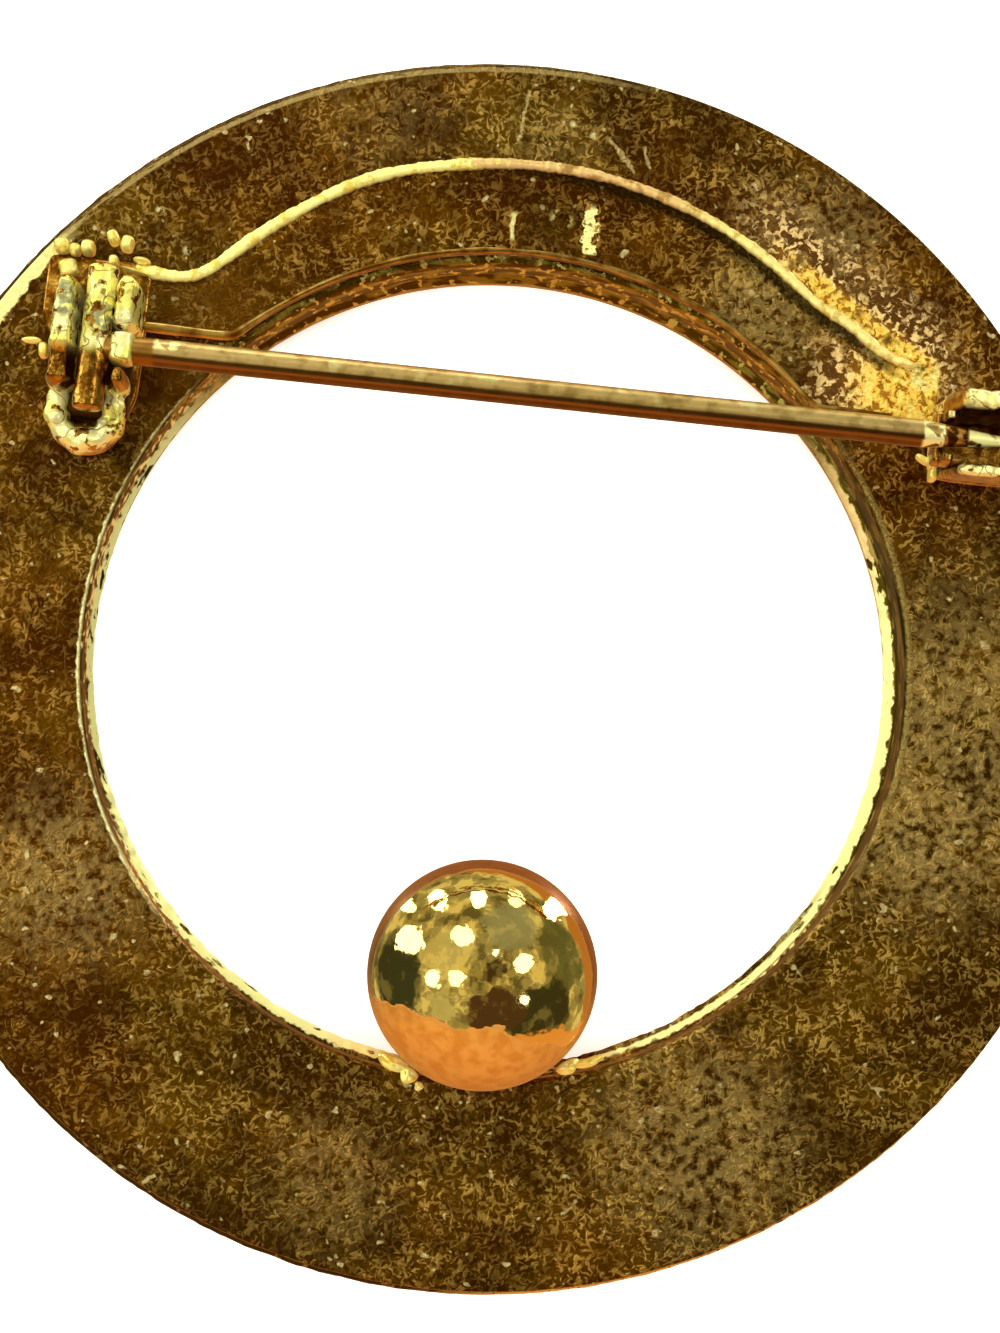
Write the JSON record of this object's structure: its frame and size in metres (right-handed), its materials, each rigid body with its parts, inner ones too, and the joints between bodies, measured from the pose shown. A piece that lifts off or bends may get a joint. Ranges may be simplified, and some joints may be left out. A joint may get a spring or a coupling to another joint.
{
  "type": "circle brooch",
  "caption": "Round gold-tone ring brooch with a polished ball on its inner edge and a crescent bar on the back that carries a hinged straight pin and a catch.",
  "frame": {"origin": "on the axis of the ring, in the plane of the ball's lowest point, on which the brooch lies face down", "axes": "+Z out of the back of the brooch, +X along the pin from the hinge to its point, +Y from the ring's centre towards the pin"},
  "size_m": [0.045, 0.045, 0.0081],
  "materials": {
    "ring": "gilt, grained on the back and polished on the front",
    "ball": "mirror-polished gilt",
    "pin_bar": "gilt sheet, finely grained, bright at its edges",
    "pin": "satin gilt wire"
  },
  "bodies": {
    "brooch": {"ring": "ring", "ball": "ball", "pin_bar": "pin_bar"},
    "pin": {"pin": "pin"}
  },
  "joints": [
    {"name": "pin_hinge", "type": "hinge", "parent": "brooch", "child": "pin", "pos_m": [-0.015, 0.0091, 0.0066], "axis": [0, -1, 0], "range_deg": [0, 90]}
  ]
}
